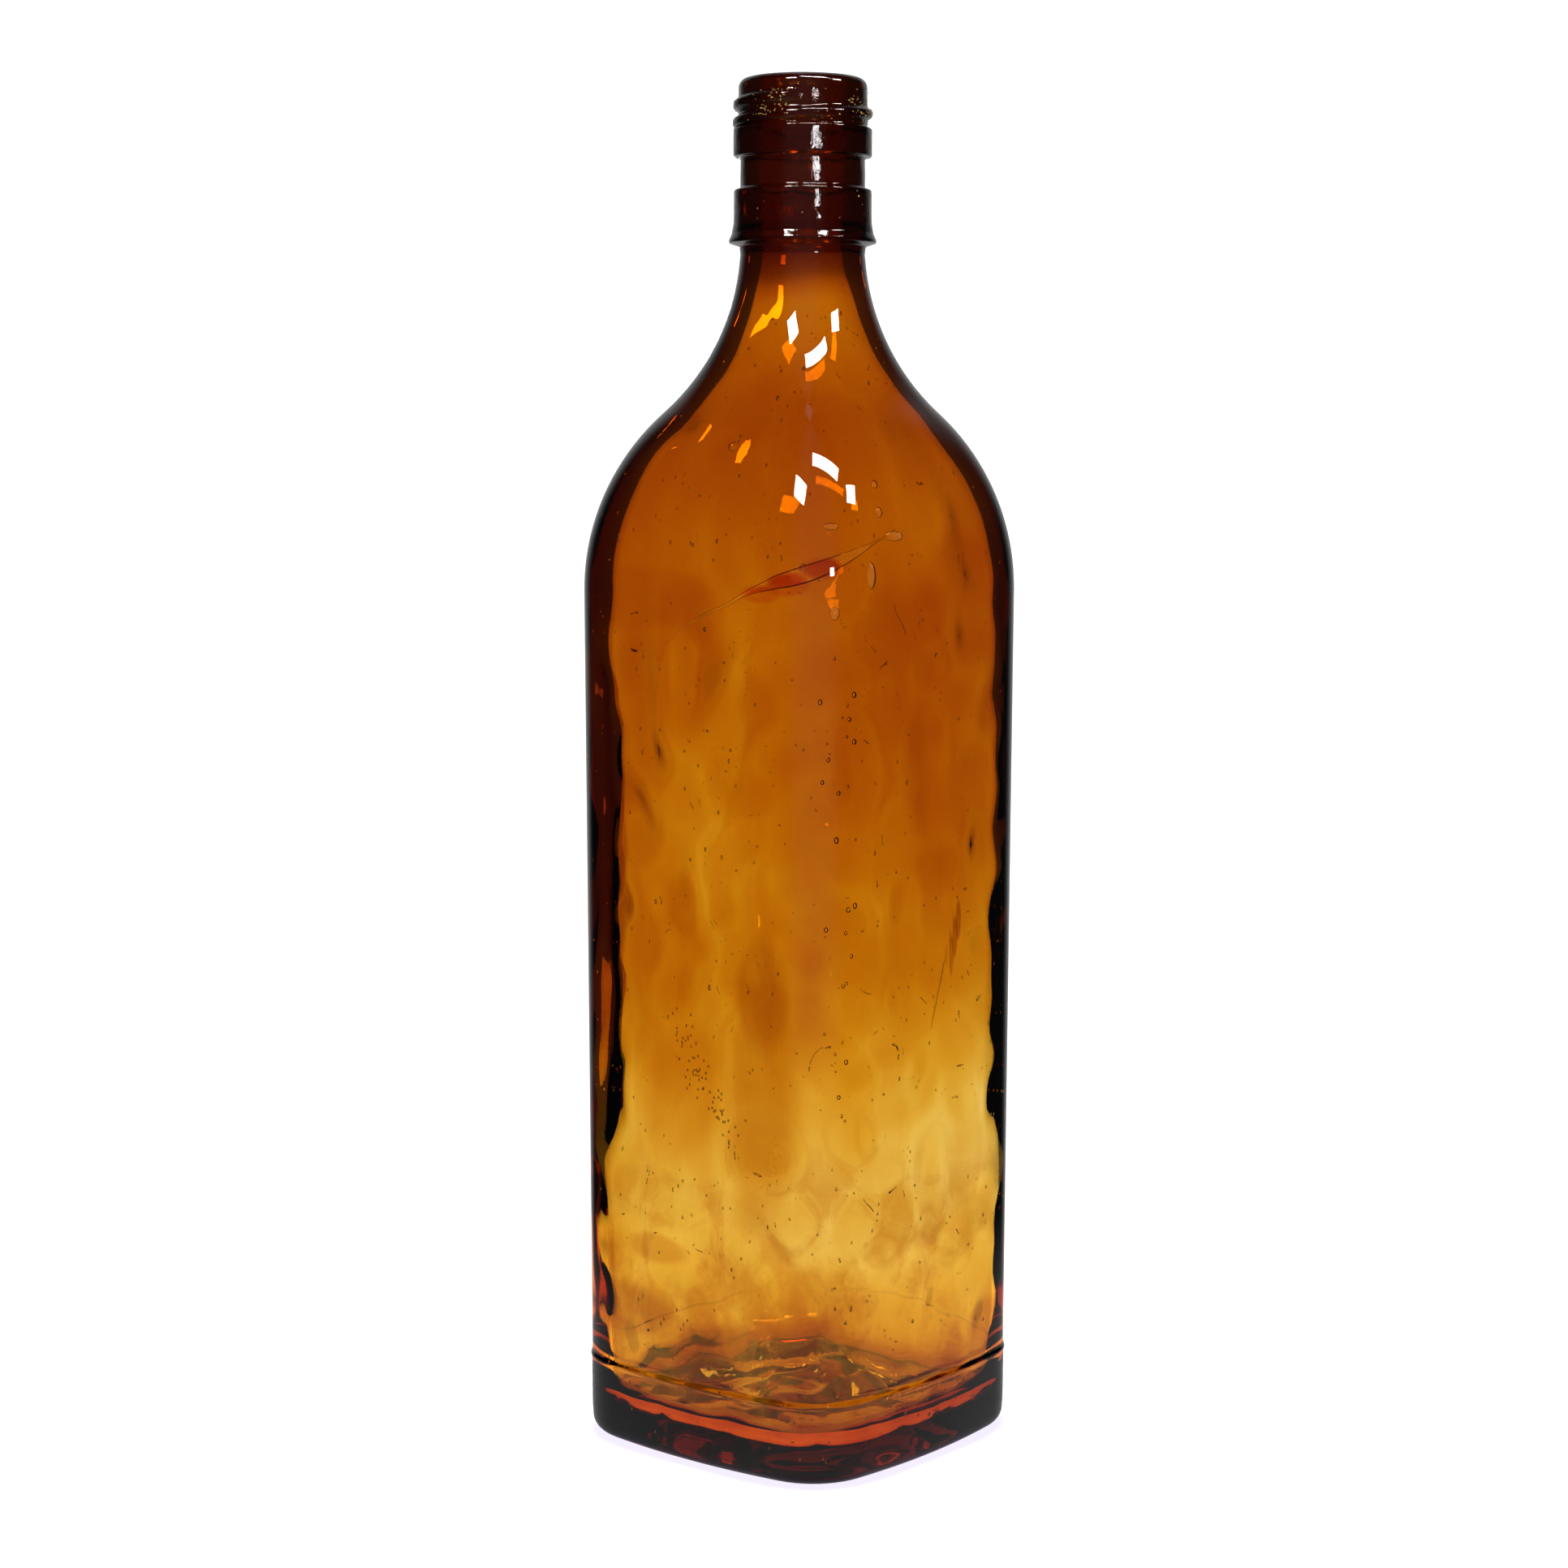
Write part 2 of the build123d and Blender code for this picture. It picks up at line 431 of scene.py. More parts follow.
def bore_rings():
    """The bore of the finish, which narrows at its foot to the blown neck."""
    rings = []
    for z in np.linspace(278.0, 251.0, 16):
        wobble = on_ring(lambda x, y: waves((x, y, z), 6.0, 77.0), 8.0)
        narrowing = (BORE - NECK_BORE) * smooth(256, 250, z)
        rings.append(ring(BORE + 0.25 * wobble - narrowing, z))
    return rings


def cavity_rings():
    """The blown inside, down from the neck and round the edge of the floor."""
    heights = [*np.linspace(249.0, SHOULDER_START, 48)]
    heights += [*np.linspace(SHOULDER_START, FLOOR_THICKNESS + FLOOR_CORNER, 112)[1:]]
    rings = []
    for z in heights:
        radius = inside_ring(z, ANGLES)
        bulge = on_ring(lambda x, y: inner_bulge(x, y, z), radius)
        rings.append(ring(radius + bulge * smooth(252, 236, z), z))
    for t in np.linspace(math.pi / 2, 0, 9)[1:]:
        inset = FLOOR_CORNER * (1 - math.sin(t))
        z = FLOOR_THICKNESS + FLOOR_CORNER * (1 - math.cos(t))
        radius = inside_ring(z, ANGLES, inset)
        bulge = on_ring(lambda x, y: inner_bulge(x, y, z), radius)
        lift = on_ring(floor_crinkle, radius)
        fade = math.sin(t)
        rings.append(ring(radius + bulge * fade, z + lift * (1 - fade) * EDGE_CRINKLE))
    return rings


def floor_rings(edge):
    """The crinkled floor, in from its edge nearly to the middle."""
    rings = []
    for t in np.linspace(1, 0.04, 34)[1:]:
        x = edge[:, 0] * t
        y = edge[:, 1] * t
        lift = np.array([floor_crinkle(a, b) for a, b in zip(x, y)])
        share = EDGE_CRINKLE + (1 - EDGE_CRINKLE) * smooth(1, 0.78, t)
        rings.append(np.stack([x, y, FLOOR_THICKNESS + lift * share], axis=1))
    return rings


def glass_rings():
    """Rings from the middle of the base, up the outside, over the lip and down the inside."""
    rings = underside_rings() + outer_wall_rings() + finish_rings()
    rings += bore_rings() + cavity_rings()
    rings += floor_rings(rings[-1])
    for points in rings:  # the blown neck sits a little off the axis
        bend = smooth(178, 246, float(points[:, 2].mean()))
        points[:, 0] += NECK_OFFSET[0] * bend
        points[:, 1] += NECK_OFFSET[1] * bend
    return rings


def ring_mesh(rings):
    """Vertices and quads joining successive rings, closed at both ends by fans."""
    count = len(rings[0])
    verts = np.concatenate(rings).tolist()
    faces = []
    for i in range(len(rings) - 1):
        a, b = i * count, (i + 1) * count
        for j in range(count):
            k = (j + 1) % count
            faces.append((a + j, a + k, b + k, b + j))
    for end, turned in ((0, True), (len(rings) - 1, False)):
        verts.append(np.mean(rings[end], axis=0).tolist())
        tip = len(verts) - 1
        start = end * count
        for j in range(count):
            corners = (start + j, start + (j + 1) % count, tip)
            faces.append(corners[::-1] if turned else corners)
    return verts, faces


# ---------------------------------------------------------------- air in the glass
SCATTERED_SEEDS = 760
CLUSTER_SEEDS = 75
CORNER_SEEDS = 28
STRING_SEEDS = 24
HEEL_PITS = 45
SEED_STRINGS = [(-66, 158, 180), (-34, 150, 178), (-58, 60, 72)]  # polar angle, z from, to
LARGEST_SEED = 0.2  # radius, as a share of the wall's thickness there
FINER_SEED = 0.34  # radius from which a seed gets a finer mesh

# flat blisters of air about the shoulder: (polar angle, z, half width, half height)
BLISTERS = [
    (-42.6, 192.6, 1.5, 0.7),
    (-27.0, 195.2, 0.8, 1.1),
    (-31.4, 183.0, 1.1, 2.6),
    (-42.0, 175.8, 1.0, 1.3),
    (-77.5, 208.0, 1.0, 1.0),
    (-27.0, 200.6, 0.7, 0.9),
    (-22.0, 190.5, 2.4, 1.0),
]
BLISTER_DEPTH = 1.3
BLISTER_HALF_THICKNESS = 0.22

# paths of the fold and of the slanted streak in the wall: (z, polar angle)
FOLD = [(168.5, -98), (172.5, -90), (177.8, -72), (182.7, -57), (188.0, -36), (192.0, -20)]
STREAK = [(105, 3.6), (98, 0.0), (90, -4.0)]
POCKET_RINGS = 46
POCKET_SIDES = 10
POCKET_DEPTH = 1.6
POCKET_WAVER = 0.35  # how far a pocket of air strays from its path
POCKET_PEAK = 0.15  # share of its length over which it is widest
POCKET_NARROWEST = 0.22
POCKET_SHIFT = 0.7  # how far it lies to one side of its path, in half widths


def directions(polar):
    """Unit vectors out from the axis and clockwise round it, at this polar angle."""
    angle = math.radians(polar)
    out = Vector((math.cos(angle), math.sin(angle), 0))
    clockwise = Vector((math.sin(angle), -math.cos(angle), 0))
    return out, clockwise


def wall_point(polar, z, depth):
    """A point that deep inside the outer surface."""
    angle = math.radians(polar)
    radius = float(wall_ring(z, np.array([angle]))[0]) - depth
    return Vector((radius * math.cos(angle), radius * math.sin(angle), z))


def wall_thickness(polar, z):
    """How thick the uneven glass is at this place, or above the floor's edge if lower."""
    angle = math.radians(polar)
    height = max(z, FLOOR_THICKNESS + FLOOR_CORNER)
    outer = float(wall_ring(height, np.array([angle]))[0])
    inner = float(inside_ring(height, np.array([angle]))[0])
    return outer - inner - inner_bulge(inner * math.cos(angle), inner * math.sin(angle), height)


def add_void(verts, faces, points, shell):
    """Join a closed shell, its faces turned to look into the trapped air."""
    start = len(verts)
    verts += [tuple(p) for p in points]
    faces += [tuple(start + i for i in reversed(face)) for face in shell]


def ball(subdivisions):
    """Points and faces of a ball of radius 1."""
    shape = bmesh.new()
    bmesh.ops.create_icosphere(shape, subdivisions=subdivisions, radius=1.0)
    points = [v.co.copy() for v in shape.verts]
    shell = [tuple(v.index for v in f.verts) for f in shape.faces]
    shape.free()
    return points, shell


def scattered_seeds(rng):
    """Seeds all over the body, as (polar, z, share of the wall, radius, stretch)."""
    places = []
    for _ in range(SCATTERED_SEEDS):
        size = 0.15 + 0.14 * rng.random() + 0.10 * rng.random() ** 6
        z = 9 + 226 * rng.random() ** 1.15
        polar = rng.uniform(-180, 180)
        share = rng.uniform(0.25, 0.7)
        places.append((polar, z, share, size, rng.uniform(1, 1.9)))
    return places


def clustered_seeds(rng):
    """A drifting cluster on the left front face, then larger seeds down the front corner."""
    places = []
    for _ in range(CLUSTER_SEEDS):
        t = rng.random()
        polar = -95 + 26 * t + rng.gauss(0, 2.0)
        z = 91 - 21 * t + rng.gauss(0, 3.0)
        places.append((polar, z, rng.uniform(0.3, 0.6), 0.27, 1.2))
    for _ in range(CORNER_SEEDS):
        size = rng.uniform(0.3, 0.5)
        polar = rng.uniform(-46, -36)
        z = rng.uniform(25, 160)
        share = rng.uniform(0.3, 0.6)
        places.append((polar, z, share, size, rng.uniform(1.1, 1.6)))
    return places


def fine_seeds(rng):
    """Upright strings of very small seeds, then pits low on the heel."""
    places = []
    for middle, low, high in SEED_STRINGS:
        for _ in range(STRING_SEEDS):
            z = rng.uniform(low, high)
            polar = middle + rng.gauss(0, 1.1)
            places.append((polar, z, rng.uniform(0.25, 0.4), 0.15, 0.6))
    for _ in range(HEEL_PITS):
        polar = rng.uniform(-180, 180)
        z = rng.uniform(5, 26)
        share = rng.uniform(0.3, 0.5)
        places.append((polar, z, share, 0.22, rng.uniform(1, 1.5)))
    return places


def add_seeds(verts, faces):
    """Small round and drawn-out bubbles, kept well inside the wall."""
    rng = random.Random(7)
    small, large = ball(1), ball(2)
    places = scattered_seeds(rng) + clustered_seeds(rng) + fine_seeds(rng)
    for polar, z, share, size, stretch in places:
        thickness = wall_thickness(polar, z)
        size = min(size, LARGEST_SEED * thickness)
        middle = wall_point(polar, z, share * thickness)
        points, shell = large if size > FINER_SEED else small
        placed = [middle + Vector((p.x * size, p.y * size, p.z * size * stretch)) for p in points]
        add_void(verts, faces, placed, shell)


def add_blisters(verts, faces):
    """Flat round bubbles that lie along the wall."""
    shape, shell = ball(3)
    for polar, z, half_width, half_height in BLISTERS:
        out, clockwise = directions(polar)
        middle = wall_point(polar, z, BLISTER_DEPTH)
        points = []
        for p in shape:
            across = clockwise * p.x * half_width + Vector((0, 0, p.z * half_height))
            points.append(middle + across + out * p.y * BLISTER_HALF_THICKNESS)
        add_void(verts, faces, points, shell)


def pocket_ring(t, places, widest, peak, tilt, thickness):
    """Points round a flat pocket of air, at the share t of the way along its path."""
    at = t * (len(places) - 1)
    k = min(int(at), len(places) - 2)
    part = at - k
    z0, polar0 = places[k]
    z1, polar1 = places[k + 1]
    z = z0 + (z1 - z0) * part + POCKET_WAVER * noise.noise(Vector((t * 9.0, 2.0, 6.0)))
    polar = polar0 + (polar1 - polar0) * part
    middle = wall_point(polar, z, POCKET_DEPTH)
    out, _ = directions(polar)
    along = wall_point(polar1, z1, POCKET_DEPTH) - wall_point(polar0, z0, POCKET_DEPTH)
    side = out.cross(along).normalized()
    across = side * math.cos(tilt) + out * math.sin(tilt)
    through = out * math.cos(tilt) - side * math.sin(tilt)
    taper = math.sqrt(math.sin(math.pi * t))
    bell = math.exp(-(((t - peak) / POCKET_PEAK) ** 2))
    width = (POCKET_NARROWEST + (widest - POCKET_NARROWEST) * bell) * taper
    thin = thickness * taper
    points = []
    for j in range(POCKET_SIDES):
        a = 2 * math.pi * j / POCKET_SIDES
        point = middle + across * width * math.cos(a) + through * thin * math.sin(a)
        points.append(point - across * width * POCKET_SHIFT)
    return points


def add_pocket(verts, faces, places, widest, peak, tilt, thickness):
    """A flattened pocket of air drawn along a path in the wall, tapering at both ends."""
    points = []
    for i in range(POCKET_RINGS):
        t = (i + 0.5) / POCKET_RINGS
        points += pocket_ring(t, places, widest, peak, tilt, thickness)
    shell = []
    for i in range(POCKET_RINGS - 1):
        here, on = i * POCKET_SIDES, (i + 1) * POCKET_SIDES
        for j in range(POCKET_SIDES):
            k = (j + 1) % POCKET_SIDES
            shell.append((here + j, here + k, on + k, on + j))
    shell.append(tuple(range(POCKET_SIDES))[::-1])
    shell.append(tuple((POCKET_RINGS - 1) * POCKET_SIDES + j for j in range(POCKET_SIDES)))
    add_void(verts, faces, points, shell)


# ---------------------------------------------------------------- pieces
# flecks of dirt: how many, polar angles from and to, heights from and to
GRIME = [
    (60, -96, -62, 274.5, 280.0),
    (60, -8, 38, 273.4, 279.0),
    (60, -180, 180, 273.6, 281.0),
    (26, -180, 180, 254.0, 260.0),
]
GRIME_THICKNESS = 0.11
GRIME_STAND_OFF = 0.08  # from the glass to the middle of a fleck


def make_object(name, verts, faces, material):
    """A smooth-shaded object from vertices in millimetres."""
    mesh = bpy.data.meshes.new(name)
    mesh.from_pydata([tuple(c * MM for c in v) for v in verts], [], faces)
    mesh.polygons.foreach_set("use_smooth", [True] * len(mesh.polygons))
    mesh.materials.append(material)
    mesh.update()
    obj = bpy.data.objects.new(name, mesh)
    bpy.context.scene.collection.objects.link(obj)
    return obj


def glass_piece(material):
    """The bottle in one closed mesh, with the air that is trapped in its wall."""
    verts, faces = ring_mesh(glass_rings())
    add_seeds(verts, faces)
    add_blisters(verts, faces)
    add_pocket(verts, faces, FOLD, 1.9, 0.68, math.radians(14), 0.04)
    add_pocket(verts, faces, STREAK, 0.4, 0.2, 0.0, 0.2)
    return make_object("bottle_glass", verts, faces, material)


def grime_piece(material):
    """Gold and olive flecks of old dirt caught on the thread and the collar."""
    rng = random.Random(23)
    places = []
    for count, left, right, low, high in GRIME:
        places += [(rng.uniform(left, right), rng.uniform(low, high)) for _ in range(count)]
    verts, faces = [], []
    unit, shell = ball(1)
    shift = Vector((*NECK_OFFSET, 0))
    for polar, z in places:
        on_thread = z > 270
        radius = THREAD_ROOT + thread_rise(math.radians(polar), z) if on_thread else COLLAR_RADIUS
        out, clockwise = directions(polar)
        middle = out * (radius + GRIME_STAND_OFF) + Vector((0, 0, z)) + shift
        size = 0.07 + 0.13 * rng.random() ** 2
        lean = rng.uniform(0.4, 2.2)
        start = len(verts)
        for p in unit:
            ragged = 1 + rng.uniform(-0.35, 0.35)
            flat = clockwise * p.x * size * lean + out * p.y * GRIME_THICKNESS
            place = flat + Vector((0, 0, p.z * size))
            verts.append(tuple(middle + place * ragged))
        faces += [tuple(start + i for i in face) for face in shell]
    return make_object("thread_grime", verts, faces, material)


# ---------------------------------------------------------------- shader nodes
def new_material(name):
    """An empty node material, with its nodes and links."""
    material = bpy.data.materials.new(name)
    material.use_nodes = True
    nodes = material.node_tree.nodes
    nodes.clear()
    return material, nodes, material.node_tree.links


def math_node(nodes, links, operation, first, second=None):
    """Combine one or two values, each of them a number or a socket."""
    node = nodes.new("ShaderNodeMath")
    node.operation = operation
    for socket, value in zip(node.inputs, (first, second)):
        if isinstance(value, (int, float)):
            socket.default_value = value
        elif value is not None:
            links.new(value, socket)
    return node.outputs[0]


def vector_node(nodes, links, operation, first, second=None, result="Vector"):
    """Combine one or two vectors; the second may be a socket or three numbers."""
    node = nodes.new("ShaderNodeVectorMath")
    node.operation = operation
    links.new(first, node.inputs[0])
    if isinstance(second, bpy.types.NodeSocket):
        links.new(second, node.inputs[1])
    elif second is not None:
        node.inputs[1].default_value = second
    return node.outputs[result]


def ramp_node(nodes, links, value, low, high, out_low=0.0, out_high=1.0):
    """A soft step from out_low where the value is low to out_high where it is high."""
    node = nodes.new("ShaderNodeMapRange")
    node.interpolation_type = "SMOOTHSTEP"
    node.inputs["From Min"].default_value = low
    node.inputs["From Max"].default_value = high
    node.inputs["To Min"].default_value = out_low
    node.inputs["To Max"].default_value = out_high
    links.new(value, node.inputs["Value"])
    return node.outputs["Result"]


def noise_node(nodes, links, vector, scale, detail, roughness, stretch):
    """Noise whose scale is multiplied along each axis by stretch."""
    mapping = nodes.new("ShaderNodeMapping")
    mapping.inputs["Scale"].default_value = stretch
    links.new(vector, mapping.inputs["Vector"])
    node = nodes.new("ShaderNodeTexNoise")
    node.inputs["Scale"].default_value = scale
    node.inputs["Detail"].default_value = detail
    node.inputs["Roughness"].default_value = roughness
    links.new(mapping.outputs["Vector"], node.inputs["Vector"])
    return node.outputs["Fac"]


def colour_ramp_node(nodes, links, value, stops):
    """A colour that changes with the value through (position, colour) stops."""
    node = nodes.new("ShaderNodeValToRGB")
    elements = node.color_ramp.elements
    elements[0].position = stops[0][0]
    elements[1].position = stops[-1][0]
    for position, _ in stops[1:-1]:
        elements.new(position)
    for element, (_, colour) in zip(elements, stops):
        element.color = (*colour, 1)
    links.new(value, node.inputs["Fac"])
    return node.outputs["Color"]


def tint_node(nodes, links, colour, factor, tint):
    """Multiply a colour by a tint, as far as the factor says."""
    node = nodes.new("ShaderNodeMix")
    node.data_type = "RGBA"
    node.blend_type = "MULTIPLY"
    links.new(factor, node.inputs["Factor"])
    links.new(colour, node.inputs["A"])
    node.inputs["B"].default_value = (*tint, 1)
    return node.outputs["Result"]


def blotch_node(nodes, links, vector, clouds, centre, size):
    """1 inside a soft, uneven ellipsoid about a point on the wall, 0 outside it."""
    offset = vector_node(nodes, links, "SUBTRACT", vector, [c * MM for c in centre])
    scaled = vector_node(nodes, links, "DIVIDE", offset, [c * MM for c in size])
    length = vector_node(nodes, links, "LENGTH", scaled, result="Value")
    uneven = math_node(nodes, links, "ADD", length, clouds)
    return ramp_node(nodes, links, uneven, 1.75, 1.25)


# ---------------------------------------------------------------- materials
AMBER = (0.891, 0.727, 0.059, 1)
AMBER_DENSITY = 850.0
CLOUD_TINT = (0.96, 0.90, 0.80)
CORD_TINT = (0.96, 0.92, 0.86)
SMOKE_TINT = (0.80, 0.62, 0.42)
COLOUR_DRIFT = 0.02  # how far the clouds shift the stops below, as a share of the height
# tint of each glass surface by height: (share of the height, colour)
COLOUR_STOPS = [
    (0.00, (0.95, 0.85, 0.80)),
    (0.05, (1.00, 0.98, 0.95)),
    (0.60, (1.00, 0.98, 0.95)),
    (0.838, (1.00, 0.96, 0.92)),
    (0.850, (0.85, 0.70, 0.70)),
    (0.859, (0.58, 0.42, 0.50)),
    (0.870, (0.45, 0.26, 0.40)),
    (0.884, (0.28, 0.13, 0.28)),
    (1.00, (0.25, 0.12, 0.25)),
]
# thicker, browner patches in the wall: (centre, half size, tint)
BLOTCHES = [
    ((20.5, -37.0, 100.0), (6.0, 4.0, 11.0), (0.72, 0.52, 0.4)),
    ((20.5, -37.0, 74.0), (9.0, 4.0, 27.0), (0.85, 0.70, 0.5)),
    ((20.0, -37.0, 179.5), (4.5, 4.0, 1.7), (0.88, 0.46, 0.4)),
    ((25.5, -35.0, 181.5), (4.8, 4.0, 2.3), (0.86, 0.40, 0.3)),
    ((30.5, -31.0, 184.5), (4.0, 4.0, 2.2), (0.80, 0.40, 0.3)),
    ((-10.0, -38.0, 178.0), (16.0, 5.0, 6.0), (0.86, 0.72, 0.6)),
    ((37.5, 8.0, 178.0), (4.0, 16.0, 13.0), (0.86, 0.66, 0.6)),
    ((-22.0, -37.0, 30.0), (18.0, 6.0, 6.0), (0.78, 0.62, 0.5)),
    ((-8.0, -38.0, 44.0), (9.0, 6.0, 3.0), (0.84, 0.70, 0.6)),
    ((36.0, 20.0, 22.0), (7.0, 9.0, 7.0), (0.80, 0.62, 0.5)),
    ((37.6, 5.6, 112.0), (3.0, 1.0, 4.2), (0.45, 0.26, 0.2)),
    ((37.6, 4.4, 108.5), (3.0, 0.9, 4.2), (0.45, 0.26, 0.2)),
    ((37.6, 3.2, 105.0), (3.0, 0.8, 4.2), (0.55, 0.36, 0.2)),
    ((34.0, 30.0, 150.0), (6.0, 7.0, 45.0), (0.72, 0.50, 0.5)),
    ((-30.0, -34.0, 178.0), (6.0, 6.0, 20.0), (0.80, 0.60, 0.5)),
    ((0.0, -38.0, 78.0), (13.0, 6.0, 16.0), (0.92, 0.80, 0.6)),
]
DIRT_STOPS = [(0.38, (0.035, 0.022, 0.006)), (0.66, (0.42, 0.27, 0.05))]


def height_tint(nodes, links, height, clouds):
    """The tint by height, its edges shifted up and down a little by the clouds."""
    drift = math_node(nodes, links, "MULTIPLY", clouds, COLOUR_DRIFT)
    share = math_node(nodes, links, "DIVIDE", height, TOTAL_HEIGHT * MM)
    share = math_node(nodes, links, "ADD", share, drift)
    share = math_node(nodes, links, "SUBTRACT", share, COLOUR_DRIFT / 2)
    return colour_ramp_node(nodes, links, share, COLOUR_STOPS)


def glass_tint(nodes, links, place, height):
    """The tint of the glass's surfaces: by height, clouds, upright cords, smoke, patches."""
    clouds = noise_node(nodes, links, place, 42.0, 5.0, 0.55, (1, 1, 0.5))
    colour = height_tint(nodes, links, height, clouds)
    brown = ramp_node(nodes, links, clouds, 0.46, 0.66)
    colour = tint_node(nodes, links, colour, brown, CLOUD_TINT)
    cords = noise_node(nodes, links, place, 110.0, 3.0, 0.5, (1, 1, 0.09))
    cords = ramp_node(nodes, links, cords, 0.52, 0.75)
    colour = tint_node(nodes, links, colour, cords, CORD_TINT)
    low_down = ramp_node(nodes, links, height, 0.070, 0.035)
    smoke = noise_node(nodes, links, place, 62.0, 6.0, 0.6, (1, 1, 0.8))
    smoke = ramp_node(nodes, links, smoke, 0.48, 0.62)
    smoke = math_node(nodes, links, "MULTIPLY", smoke, low_down)
    colour = tint_node(nodes, links, colour, smoke, SMOKE_TINT)
    for centre, size, tint in BLOTCHES:
        mask = blotch_node(nodes, links, place, clouds, centre, size)
        colour = tint_node(nodes, links, colour, mask, tint)
    return colour


def finish_normal(nodes, links, place, height):
    """Small pits over the worn finish; below it the surface is left as it is."""
    pits = noise_node(nodes, links, place, 420.0, 4.0, 0.6, (1, 1, 0.7))
    on_finish = ramp_node(nodes, links, height, 0.247, 0.252)
    bump = nodes.new("ShaderNodeBump")
    bump.inputs["Distance"].default_value = 0.0008
    bump.inputs["Strength"].default_value = 0.12
    links.new(math_node(nodes, links, "MULTIPLY", pits, on_finish), bump.inputs["Height"])
    return bump.outputs["Normal"]


def glass_material():
    """Clear glass, coloured by an absorbing volume and by the tint of its surfaces."""
    material, nodes, links = new_material("amber_glass")
    output = nodes.new("ShaderNodeOutputMaterial")
    shader = nodes.new("ShaderNodeBsdfPrincipled")
    shader.inputs["Transmission Weight"].default_value = 1.0
    shader.inputs["IOR"].default_value = 1.52
    shader.inputs["Roughness"].default_value = 0.0
    absorb = nodes.new("ShaderNodeVolumeAbsorption")
    absorb.inputs["Color"].default_value = AMBER
    absorb.inputs["Density"].default_value = AMBER_DENSITY
    place = nodes.new("ShaderNodeTexCoord").outputs["Object"]
    split = nodes.new("ShaderNodeSeparateXYZ")
    links.new(place, split.inputs["Vector"])
    height = split.outputs["Z"]
    links.new(glass_tint(nodes, links, place, height), shader.inputs["Base Color"])
    links.new(finish_normal(nodes, links, place, height), shader.inputs["Normal"])
    links.new(shader.outputs["BSDF"], output.inputs["Surface"])
    links.new(absorb.outputs["Volume"], output.inputs["Volume"])
    return material


def grime_material():
    """Dull dirt, mottled from near black to old gold."""
    material, nodes, links = new_material("old_dirt")
    output = nodes.new("ShaderNodeOutputMaterial")
    shader = nodes.new("ShaderNodeBsdfPrincipled")
    shader.inputs["Roughness"].default_value = 0.55
    place = nodes.new("ShaderNodeTexCoord").outputs["Object"]
    grain = noise_node(nodes, links, place, 900.0, 3.0, 0.6, (1, 1, 1))
    colour = colour_ramp_node(nodes, links, grain, DIRT_STOPS)
    links.new(colour, shader.inputs["Base Color"])
    links.new(shader.outputs["BSDF"], output.inputs["Surface"])
    return material


# ---------------------------------------------------------------- build
bottle = glass_piece(glass_material())
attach(bottle, BODY)
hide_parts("bottle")
grime = grime_piece(grime_material())
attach(grime, BODY)


# ---------------------------------------------------------------- stage and light, in metres
CAMERA_AZIMUTH = math.radians(39.5)
CAMERA_DISTANCE = 0.6597
CAMERA_HEIGHT = 0.208
CAMERA_TILT = math.radians(6.08)
CAMERA_SIDE = -0.0033
CAMERA_ROLL = math.radians(0.08)
FOCAL_LENGTH = 72.5  # millimetres, for a sensor as wide as the next value
SENSOR_WIDTH = 36.0
TO_CAMERA = Vector((math.sin(CAMERA_AZIMUTH), -math.cos(CAMERA_AZIMUTH), 0))
TO_RIGHT = Vector((math.cos(CAMERA_AZIMUTH), math.sin(CAMERA_AZIMUTH), 0))  # in the picture

SWEEP_SEEN = 1.25  # brightness of the sweep to the camera and through the hollow bottle
ROOM = 0.016  # brightness of the dark room that the glass mirrors at its sides
OUTLINE = 0.45  # brightness of the sweep mirrored at the outline
FRONT = 0.09  # brightness of the pale wall behind the camera
WITHIN = 0.15  # brightness of the room as it comes through the solid glass of the walls
POOL_OF_LIGHT = 3.0  # painted pool of light: brightness of the floor just round the base, seen through the solid glass
UNDER_MIRRORED = 0.10  # share of that painted pool of light that the outside of the glass mirrors
HOLLOW_CROSSINGS = 2.5  # glass surfaces that light has crossed once it is past the hollow
MIRRORED_CROSSINGS = 0.5  # fewer than this, and it was mirrored by the outside
FLOOR_HALF = 4.0
FLOOR_DROP = 0.0003
# lilac of the painted contact shadow on the floor round the base
PAINTED_SHADOW_LILAC = (0.74, 0.69, 0.82, 1)
WHITE = (1, 1, 1, 1)
SHOULDER_CENTRE = Vector((0, 0, 0.21))
SOFTBOX_DISTANCE = 1.0


